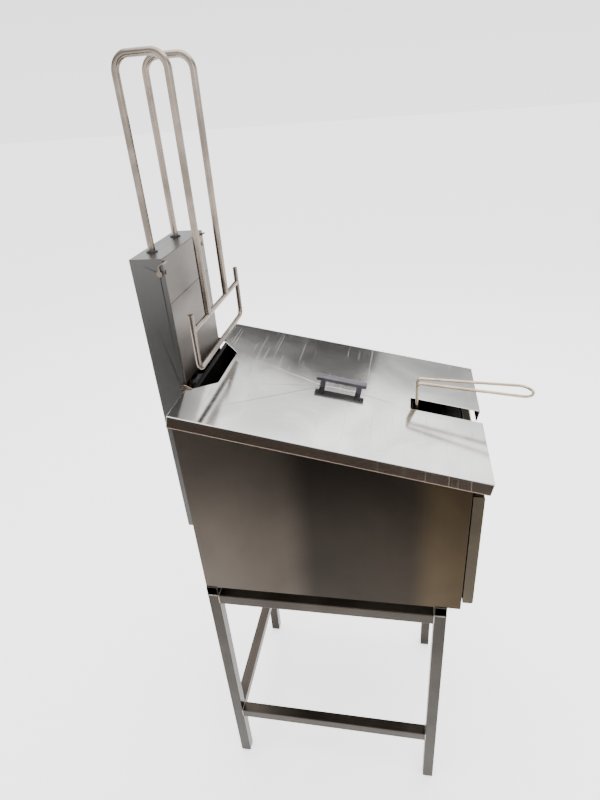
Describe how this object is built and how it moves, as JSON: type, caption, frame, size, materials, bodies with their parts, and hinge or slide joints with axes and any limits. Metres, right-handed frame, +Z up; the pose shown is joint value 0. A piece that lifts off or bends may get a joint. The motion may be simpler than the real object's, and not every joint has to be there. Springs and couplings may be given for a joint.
{
  "type": "deep fryer",
  "caption": "Floor-standing stainless fryer on an open tube stand, with a sloping lid, a wire basket, and a rear tower that carries a motorised basket lift on two bent rods.",
  "frame": {"origin": "on the floor, at the middle of the whole object's width and depth", "axes": "+Z up; -Y is the front, with the controls and the basket's handle; +Y is the back, with the lift tower; +X is the right-hand side seen from the front"},
  "size_m": [0.441, 0.732, 1.6573],
  "materials": {
    "stand_tube": "brushed stainless tube",
    "brushed_sheet": "brushed stainless sheet",
    "polished_sheet": "bright stainless sheet with faint smudges",
    "satin_rod": "satin stainless round bar",
    "basket_wire": "nickel-plated wire",
    "brass": "plain brass",
    "black_plastic": "black moulded plastic",
    "red_plastic": "red moulded plastic",
    "white_plastic": "off-white moulded plastic",
    "amber_lens": "amber lens",
    "heater_tube": "heat-darkened steel tube",
    "copper": "copper bulb",
    "motor_paint": "grey enamel"
  },
  "bodies": {
    "cabinet": {"leg_front_left": "stand_tube", "leg_front_right": "stand_tube", "leg_rear_left": "stand_tube", "leg_rear_right": "stand_tube", "foot_plugs": "black_plastic", "side_rail_left": "stand_tube", "side_rail_right": "stand_tube", "cross_tube_front": "stand_tube", "cross_tube_rear": "stand_tube", "lower_rail_left": "stand_tube", "lower_rail_right": "stand_tube", "lower_rail_rear": "stand_tube", "side_panel_left": "brushed_sheet", "side_panel_right": "brushed_sheet", "front_panel": "brushed_sheet", "rear_panel": "brushed_sheet", "base_panel": "brushed_sheet", "deck": "brushed_sheet", "tank": "brushed_sheet", "drain_pipe": "satin_rod", "drain_valve_body": "brass", "heating_element": "heater_tube", "element_nuts": "brass", "thermostat_bulb": "copper", "basket_rest": "satin_rod", "control_fascia": "brushed_sheet", "thermostat_body": "white_plastic", "timer_body": "white_plastic", "terminal_block": "white_plastic", "cable_gland": "black_plastic", "power_switch_frame": "black_plastic", "pilot_lamps": "amber_lens", "tower_casing": "brushed_sheet", "tower_cover_lower": "brushed_sheet", "tower_cover_upper": "brushed_sheet", "rod_bushes": "black_plastic", "rod_guides": "white_plastic", "lid_pivot_pins": "satin_rod", "gear_motor": "motor_paint", "motor_bracket": "brushed_sheet"},
    "lift": {"cane_rod_left": "satin_rod", "cane_rod_right": "satin_rod", "hanger_crossbar": "satin_rod", "hanger_frame": "satin_rod", "lift_crosshead": "satin_rod", "drive_rack": "satin_rod"},
    "pinion": {"drive_pinion": "brass"},
    "lid": {"lid_panel": "polished_sheet", "lid_hinge_ears": "polished_sheet", "lid_handle": "black_plastic", "lid_handle_screws": "satin_rod"},
    "basket": {"basket_body": "basket_wire", "basket_rim": "satin_rod", "basket_handle": "basket_wire"},
    "thermostat_dial": {"thermostat_knob": "black_plastic"},
    "timer_dial": {"timer_knob": "black_plastic"},
    "power_switch": {"power_rocker": "red_plastic"},
    "drain_tap": {"drain_lever": "red_plastic"},
    "catch_left": {"tower_catch_left": "satin_rod"},
    "catch_right": {"tower_catch_right": "satin_rod"}
  },
  "joints": [
    {"name": "lift_slide", "type": "slide", "parent": "cabinet", "child": "lift", "axis": [0, 0, 1], "range_m": [-0.05, 0]},
    {"name": "pinion_spin", "type": "hinge", "parent": "cabinet", "child": "pinion", "pos_m": [0, 0.33806, 1.035], "axis": [0, 1, 0], "range_deg": [0, 192]},
    {"name": "lid_tilt", "type": "hinge", "parent": "cabinet", "child": "lid", "pos_m": [0, 0.31, 1.084], "axis": [-1, 0, 0], "range_deg": [0, 45]},
    {"name": "basket_lift_out", "type": "slide", "parent": "cabinet", "child": "basket", "axis": [0, 0, 1], "range_m": [0, 0.045]},
    {"name": "thermostat_turn", "type": "hinge", "parent": "cabinet", "child": "thermostat_dial", "pos_m": [0.022, -0.26, 0.745], "axis": [0, 1, 0], "range_deg": [0, 270]},
    {"name": "timer_turn", "type": "hinge", "parent": "cabinet", "child": "timer_dial", "pos_m": [0.084, -0.26, 0.745], "axis": [0, 1, 0], "range_deg": [0, 300]},
    {"name": "power_rock", "type": "hinge", "parent": "cabinet", "child": "power_switch", "pos_m": [-0.046, -0.257, 0.745], "axis": [-1, 0, 0], "range_deg": [0, 16]},
    {"name": "drain_turn", "type": "hinge", "parent": "cabinet", "child": "drain_tap", "pos_m": [0, -0.0295, 0.599], "axis": [0, 1, 0], "range_deg": [0, 90]},
    {"name": "catch_left_swing", "type": "hinge", "parent": "cabinet", "child": "catch_left", "pos_m": [-0.108, 0.312, 1.319], "axis": [1, 0, 0], "range_deg": [0, 90]},
    {"name": "catch_right_swing", "type": "hinge", "parent": "cabinet", "child": "catch_right", "pos_m": [0.108, 0.312, 1.319], "axis": [1, 0, 0], "range_deg": [0, 90]}
  ],
  "couplings": [
    {"joint": "pinion_spin", "follows": "lift_slide", "rad_per_m": -66.667}
  ]
}
